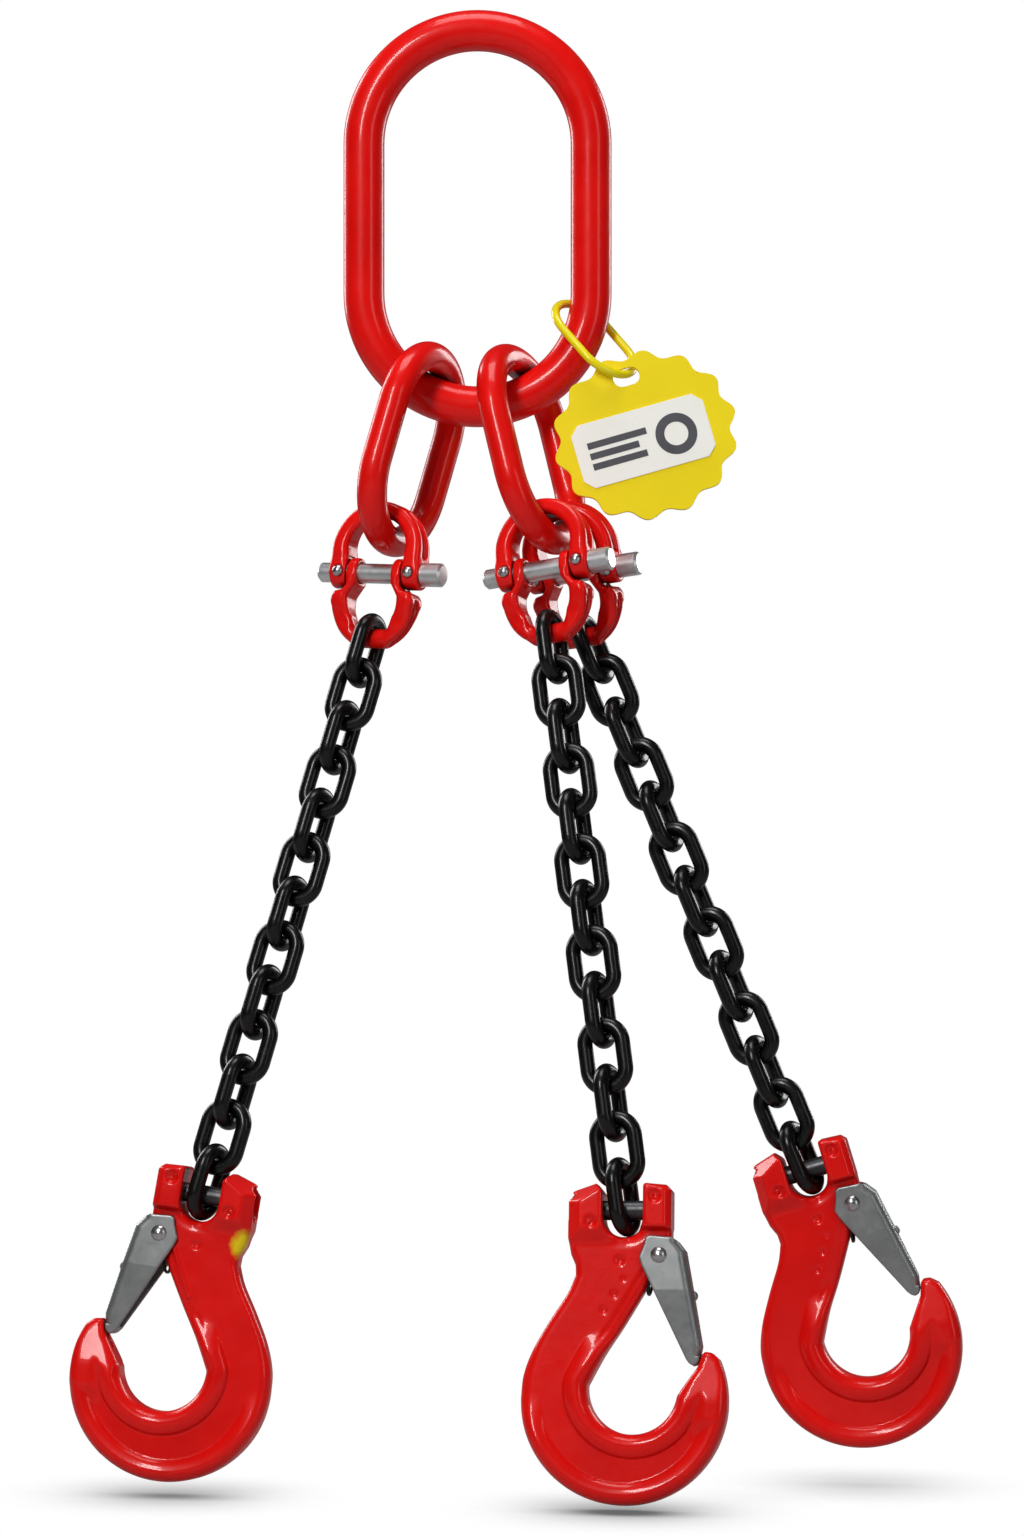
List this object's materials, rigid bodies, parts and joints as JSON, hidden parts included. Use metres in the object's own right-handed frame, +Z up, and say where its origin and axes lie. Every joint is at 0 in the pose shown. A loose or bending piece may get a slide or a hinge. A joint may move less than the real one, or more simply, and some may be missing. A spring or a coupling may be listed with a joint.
{
  "type": "three leg chain sling",
  "caption": "Lifting chain sling: an oblong master link carries legs of short-link chain, each ending in a clevis sling hook with a spring latch, plus an identity tag.",
  "frame": {"origin": "inner top crown of the master link, on its centre plane, where the crane hook bears", "axes": "+Z up, along the hanging sling; +X to the right across the master link; -Y is the front face"},
  "size_m": [0.4671, 0.1821, 0.7813],
  "materials": {
    "forged_red": "gloss powder coat on forged alloy steel",
    "chain_black": "semi-gloss black lacquer on alloy chain",
    "pin_steel": "ground and zinc plated",
    "latch_steel": "satin galvanised pressed sheet",
    "spring_steel": "dark oiled spring wire",
    "tag_yellow": "yellow coated plate",
    "ring_yellow": "yellow plastic coated wire",
    "label_white": "satin off-white label"
  },
  "bodies": {
    "master_link": {"master_link": "forged_red"},
    "intermediate_link_left": {"intermediate_link_left": "forged_red"},
    "intermediate_link_right": {"intermediate_link_right": "forged_red"},
    "tag_ring": {"tag_ring": "ring_yellow"},
    "tag": {"tag_plate": "tag_yellow", "tag_label": "label_white"},
    "joining_left_upper": {"joining_link_left_upper": "forged_red", "joining_link_left_pin": "pin_steel", "joining_link_left_studs": "pin_steel"},
    "joining_left_lower": {"joining_link_left_lower": "forged_red"},
    "left_link_01": {"chain_left_link_01": "chain_black"},
    "left_link_02": {"chain_left_link_02": "chain_black"},
    "left_links_03_05": {"chain_left_links_03_05": "chain_black"},
    "left_link_06": {"chain_left_link_06": "chain_black"},
    "left_links_07_09": {"chain_left_links_07_09": "chain_black"},
    "left_link_10": {"chain_left_link_10": "chain_black"},
    "left_links_11_12": {"chain_left_links_11_12": "chain_black"},
    "left_link_13": {"chain_left_link_13": "chain_black"},
    "hook_left": {"hook_left_body": "forged_red", "hook_left_load_pin": "pin_steel", "hook_left_roll_pins": "pin_steel", "hook_left_latch_spring": "spring_steel", "hook_left_latch_rivet": "pin_steel"},
    "latch_left": {"hook_left_latch": "latch_steel"},
    "joining_middle_upper": {"joining_link_middle_upper": "forged_red", "joining_link_middle_pin": "pin_steel", "joining_link_middle_studs": "pin_steel"},
    "joining_middle_lower": {"joining_link_middle_lower": "forged_red"},
    "middle_link_01": {"chain_middle_link_01": "chain_black"},
    "middle_link_02": {"chain_middle_link_02": "chain_black"},
    "middle_links_03_05": {"chain_middle_links_03_05": "chain_black"},
    "middle_link_06": {"chain_middle_link_06": "chain_black"},
    "middle_links_07_09": {"chain_middle_links_07_09": "chain_black"},
    "middle_link_10": {"chain_middle_link_10": "chain_black"},
    "middle_links_11_12": {"chain_middle_links_11_12": "chain_black"},
    "middle_link_13": {"chain_middle_link_13": "chain_black"},
    "hook_middle": {"hook_middle_body": "forged_red", "hook_middle_load_pin": "pin_steel", "hook_middle_roll_pins": "pin_steel", "hook_middle_latch_spring": "spring_steel", "hook_middle_latch_rivet": "pin_steel"},
    "latch_middle": {"hook_middle_latch": "latch_steel"},
    "joining_right_upper": {"joining_link_right_upper": "forged_red", "joining_link_right_pin": "pin_steel", "joining_link_right_studs": "pin_steel"},
    "joining_right_lower": {"joining_link_right_lower": "forged_red"},
    "right_link_01": {"chain_right_link_01": "chain_black"},
    "right_link_02": {"chain_right_link_02": "chain_black"},
    "right_links_03_05": {"chain_right_links_03_05": "chain_black"},
    "right_link_06": {"chain_right_link_06": "chain_black"},
    "right_links_07_09": {"chain_right_links_07_09": "chain_black"},
    "right_link_10": {"chain_right_link_10": "chain_black"},
    "right_links_11_12": {"chain_right_links_11_12": "chain_black"},
    "right_link_13": {"chain_right_link_13": "chain_black"},
    "hook_right": {"hook_right_body": "forged_red", "hook_right_load_pin": "pin_steel", "hook_right_roll_pins": "pin_steel", "hook_right_latch_spring": "spring_steel", "hook_right_latch_rivet": "pin_steel"},
    "latch_right": {"hook_right_latch": "latch_steel"}
  },
  "joints": [
    {"name": "left_intermediate_swing", "type": "hinge", "parent": "master_link", "child": "intermediate_link_left", "pos_m": [-0.03096, 0, -0.18256], "axis": [0.8616, 0, -0.5075], "range_deg": [-25, 25], "stiffness_Nm_per_rad": 60, "springref_deg": -1.09},
    {"name": "right_intermediate_swing", "type": "hinge", "parent": "master_link", "child": "intermediate_link_right", "pos_m": [0.02674, 0, -0.18483], "axis": [0.8988, 0, 0.4384], "range_deg": [-8, 25], "stiffness_Nm_per_rad": 60, "springref_deg": -2.44},
    {"name": "left_joining_swing", "type": "hinge", "parent": "intermediate_link_left", "child": "joining_left_upper", "pos_m": [-0.04839, -0.01594, -0.26298], "axis": [-0.4384, -0.8988, 0], "range_deg": [-25, 12], "stiffness_Nm_per_rad": 40, "springref_deg": -1.46},
    {"name": "left_joining_hinge", "type": "hinge", "parent": "joining_left_upper", "child": "joining_left_lower", "pos_m": [-0.05237, -0.01706, -0.28148], "axis": [0.9101, -0.4122, -0.0422], "range_deg": [-30, 30], "stiffness_Nm_per_rad": 30, "springref_deg": -2.86},
    {"name": "left_link_01_flex", "type": "hinge", "parent": "joining_left_lower", "child": "left_link_01", "pos_m": [-0.0559, -0.0213, -0.31625], "axis": [0.9101, -0.4122, -0.0422], "range_deg": [-25, 25], "stiffness_Nm_per_rad": 15, "springref_deg": -5.36},
    {"name": "left_link_02_flex", "type": "hinge", "parent": "left_link_01", "child": "left_link_02", "pos_m": [-0.06357, -0.02447, -0.33838], "axis": [-0.4392, -0.8565, 0.2712], "range_deg": [-25, 25], "stiffness_Nm_per_rad": 12, "springref_deg": -3.74},
    {"name": "left_links_03_05_flex", "type": "hinge", "parent": "left_link_02", "child": "left_links_03_05", "pos_m": [-0.07025, -0.02837, -0.36152], "axis": [0.919, -0.3346, -0.2088], "range_deg": [-25, 25], "stiffness_Nm_per_rad": 12, "springref_deg": -5.25},
    {"name": "left_link_06_flex", "type": "hinge", "parent": "left_links_03_05", "child": "left_link_06", "pos_m": [-0.09028, -0.04008, -0.43095], "axis": [0.4392, 0.8565, -0.2712], "range_deg": [-25, 25], "stiffness_Nm_per_rad": 12, "springref_deg": 2.45},
    {"name": "left_links_07_09_flex", "type": "hinge", "parent": "left_link_06", "child": "left_links_07_09", "pos_m": [-0.09696, -0.04399, -0.45409], "axis": [-0.919, 0.3346, 0.2088], "range_deg": [-25, 25], "stiffness_Nm_per_rad": 12, "springref_deg": 3.42},
    {"name": "left_link_10_flex", "type": "hinge", "parent": "left_links_07_09", "child": "left_link_10", "pos_m": [-0.11699, -0.0557, -0.52351], "axis": [-0.4392, -0.8565, 0.2712], "range_deg": [-25, 25], "stiffness_Nm_per_rad": 12, "springref_deg": -1.28},
    {"name": "left_links_11_12_flex", "type": "hinge", "parent": "left_link_10", "child": "left_links_11_12", "pos_m": [-0.12367, -0.0596, -0.54665], "axis": [0.919, -0.3346, -0.2088], "range_deg": [-25, 25], "stiffness_Nm_per_rad": 12, "springref_deg": -1.74},
    {"name": "left_link_13_flex", "type": "hinge", "parent": "left_links_11_12", "child": "left_link_13", "pos_m": [-0.13703, -0.06741, -0.59294], "axis": [-0.919, 0.3346, 0.2088], "range_deg": [-25, 25], "stiffness_Nm_per_rad": 12, "springref_deg": 0.96},
    {"name": "left_hook_swing", "type": "hinge", "parent": "left_link_13", "child": "hook_left", "pos_m": [-0.14111, -0.0698, -0.60707], "axis": [-0.9766, 0.1566, 0.1476], "range_deg": [-10, 10], "stiffness_Nm_per_rad": 5, "springref_deg": 1.56},
    {"name": "left_hook_latch", "type": "hinge", "parent": "hook_left", "child": "latch_left", "pos_m": [-0.16299, -0.06933, -0.62699], "axis": [-0.138, -0.9821, 0.1285], "range_deg": [0, 18], "stiffness_Nm_per_rad": 0.05, "springref_deg": -20},
    {"name": "middle_joining_swing", "type": "hinge", "parent": "intermediate_link_right", "child": "joining_middle_upper", "pos_m": [0.03599, -0.02576, -0.26192], "axis": [-0.4923, -0.8249, 0.2778], "range_deg": [-20, 2], "stiffness_Nm_per_rad": 40, "springref_deg": 1.74},
    {"name": "middle_joining_hinge", "type": "hinge", "parent": "joining_middle_upper", "child": "joining_middle_lower", "pos_m": [0.03632, -0.03138, -0.27993], "axis": [0.9131, -0.3817, 0.1436], "range_deg": [-30, 3], "stiffness_Nm_per_rad": 30, "springref_deg": -1.99},
    {"name": "middle_link_01_flex", "type": "hinge", "parent": "joining_middle_lower", "child": "middle_link_01", "pos_m": [0.03879, -0.03842, -0.31433], "axis": [0.9131, -0.3817, 0.1436], "range_deg": [-25, 5], "stiffness_Nm_per_rad": 15, "springref_deg": -3.6},
    {"name": "middle_link_02_flex", "type": "hinge", "parent": "middle_link_01", "child": "middle_link_02", "pos_m": [0.0421, -0.04379, -0.33699], "axis": [-0.4483, -0.8821, 0.1447], "range_deg": [-25, 4], "stiffness_Nm_per_rad": 12, "springref_deg": 4.47},
    {"name": "middle_links_03_05_flex", "type": "hinge", "parent": "middle_link_02", "child": "middle_links_03_05", "pos_m": [0.04504, -0.04915, -0.36061], "axis": [0.9501, -0.257, 0.1767], "range_deg": [-25, 5], "stiffness_Nm_per_rad": 12, "springref_deg": -4.33},
    {"name": "middle_link_06_flex", "type": "hinge", "parent": "middle_links_03_05", "child": "middle_link_06", "pos_m": [0.05386, -0.06526, -0.43147], "axis": [0.4483, 0.8821, -0.1447], "range_deg": [-5, 25], "stiffness_Nm_per_rad": 12, "springref_deg": -2.86},
    {"name": "middle_links_07_09_flex", "type": "hinge", "parent": "middle_link_06", "child": "middle_links_07_09", "pos_m": [0.0568, -0.07063, -0.45509], "axis": [-0.9501, 0.257, -0.1767], "range_deg": [-6, 25], "stiffness_Nm_per_rad": 12, "springref_deg": 2.96},
    {"name": "middle_link_10_flex", "type": "hinge", "parent": "middle_links_07_09", "child": "middle_link_10", "pos_m": [0.06562, -0.08673, -0.52595], "axis": [-0.4483, -0.8821, 0.1447], "range_deg": [-25, 8], "stiffness_Nm_per_rad": 12, "springref_deg": 1.39},
    {"name": "middle_links_11_12_flex", "type": "hinge", "parent": "middle_link_10", "child": "middle_links_11_12", "pos_m": [0.06856, -0.0921, -0.54957], "axis": [0.9501, -0.257, 0.1767], "range_deg": [-25, 8], "stiffness_Nm_per_rad": 12, "springref_deg": -1.71},
    {"name": "middle_link_13_flex", "type": "hinge", "parent": "middle_links_11_12", "child": "middle_link_13", "pos_m": [0.07444, -0.10284, -0.59681], "axis": [-0.9501, 0.257, -0.1767], "range_deg": [-10, 25], "stiffness_Nm_per_rad": 12, "springref_deg": 1.13},
    {"name": "middle_hook_swing", "type": "hinge", "parent": "middle_link_13", "child": "hook_middle", "pos_m": [0.07624, -0.10611, -0.61123], "axis": [0.9905, -0.137, 0.0114], "range_deg": [-10, 10], "stiffness_Nm_per_rad": 5, "springref_deg": -2.31},
    {"name": "middle_hook_latch", "type": "hinge", "parent": "hook_middle", "child": "latch_middle", "pos_m": [0.09422, -0.11304, -0.6337], "axis": [0.1366, 0.9722, -0.1904], "range_deg": [0, 18], "stiffness_Nm_per_rad": 0.05, "springref_deg": -20},
    {"name": "right_joining_swing", "type": "hinge", "parent": "intermediate_link_right", "child": "joining_right_upper", "pos_m": [0.04519, -0.00664, -0.26155], "axis": [-0.3369, -0.8917, -0.3024], "range_deg": [-1, 20], "stiffness_Nm_per_rad": 40, "springref_deg": 3.28},
    {"name": "right_joining_hinge", "type": "hinge", "parent": "joining_right_upper", "child": "joining_right_lower", "pos_m": [0.05229, -0.00469, -0.28035], "axis": [0.9057, -0.4072, 0.118], "range_deg": [-3, 30], "stiffness_Nm_per_rad": 30, "springref_deg": 0.5},
    {"name": "right_link_01_flex", "type": "hinge", "parent": "joining_right_lower", "child": "right_link_01", "pos_m": [0.05652, -0.00539, -0.31528], "axis": [0.9057, -0.4072, 0.118], "range_deg": [-5, 25], "stiffness_Nm_per_rad": 15, "springref_deg": 0.92},
    {"name": "right_link_02_flex", "type": "hinge", "parent": "right_link_01", "child": "right_link_02", "pos_m": [0.06771, -0.0093, -0.33619], "axis": [-0.4407, -0.8955, -0.0626], "range_deg": [-4, 25], "stiffness_Nm_per_rad": 12, "springref_deg": 9.43},
    {"name": "right_links_03_05_flex", "type": "hinge", "parent": "right_link_02", "child": "right_links_03_05", "pos_m": [0.07684, -0.01223, -0.35863], "axis": [0.88, -0.2667, 0.3931], "range_deg": [-5, 25], "stiffness_Nm_per_rad": 12, "springref_deg": -0.13},
    {"name": "right_link_06_flex", "type": "hinge", "parent": "right_links_03_05", "child": "right_link_06", "pos_m": [0.10425, -0.02101, -0.42594], "axis": [0.4407, 0.8955, 0.0626], "range_deg": [-25, 5], "stiffness_Nm_per_rad": 12, "springref_deg": -6.39},
    {"name": "right_links_07_09_flex", "type": "hinge", "parent": "right_link_06", "child": "right_links_07_09", "pos_m": [0.11338, -0.02394, -0.44837], "axis": [-0.88, 0.2667, -0.3931], "range_deg": [-25, 6], "stiffness_Nm_per_rad": 12, "springref_deg": 0.09},
    {"name": "right_link_10_flex", "type": "hinge", "parent": "right_links_07_09", "child": "right_link_10", "pos_m": [0.14079, -0.03273, -0.51568], "axis": [-0.4407, -0.8955, -0.0626], "range_deg": [-8, 25], "stiffness_Nm_per_rad": 12, "springref_deg": 3.6},
    {"name": "right_links_11_12_flex", "type": "hinge", "parent": "right_link_10", "child": "right_links_11_12", "pos_m": [0.14992, -0.03565, -0.53811], "axis": [0.88, -0.2667, 0.3931], "range_deg": [-8, 25], "stiffness_Nm_per_rad": 12, "springref_deg": -0.05},
    {"name": "right_link_13_flex", "type": "hinge", "parent": "right_links_11_12", "child": "right_link_13", "pos_m": [0.16819, -0.04151, -0.58298], "axis": [-0.88, 0.2667, -0.3931], "range_deg": [-25, 10], "stiffness_Nm_per_rad": 12, "springref_deg": 0.03},
    {"name": "right_hook_swing", "type": "hinge", "parent": "right_link_13", "child": "hook_right", "pos_m": [0.17377, -0.0433, -0.59668], "axis": [0.9484, -0.1195, 0.2937], "range_deg": [-10, 10], "stiffness_Nm_per_rad": 5, "springref_deg": -0.56},
    {"name": "right_hook_latch", "type": "hinge", "parent": "hook_right", "child": "latch_right", "pos_m": [0.1979, -0.04747, -0.6133], "axis": [0.139, 0.9892, -0.0466], "range_deg": [0, 18], "stiffness_Nm_per_rad": 0.05, "springref_deg": -20},
    {"name": "tag_ring_swing", "type": "hinge", "parent": "master_link", "child": "tag_ring", "pos_m": [0.05801, 0, -0.14885], "axis": [0.309, 0, 0.9511], "range_deg": [0, 30], "stiffness_Nm_per_rad": 0.6, "springref_deg": -0.8},
    {"name": "tag_swing", "type": "hinge", "parent": "tag_ring", "child": "tag", "pos_m": [0.07905, -0.01222, -0.17464], "axis": [-0.6347, -0.7561, -0.1597], "range_deg": [0, 30], "stiffness_Nm_per_rad": 0.3, "springref_deg": 3.19}
  ]
}
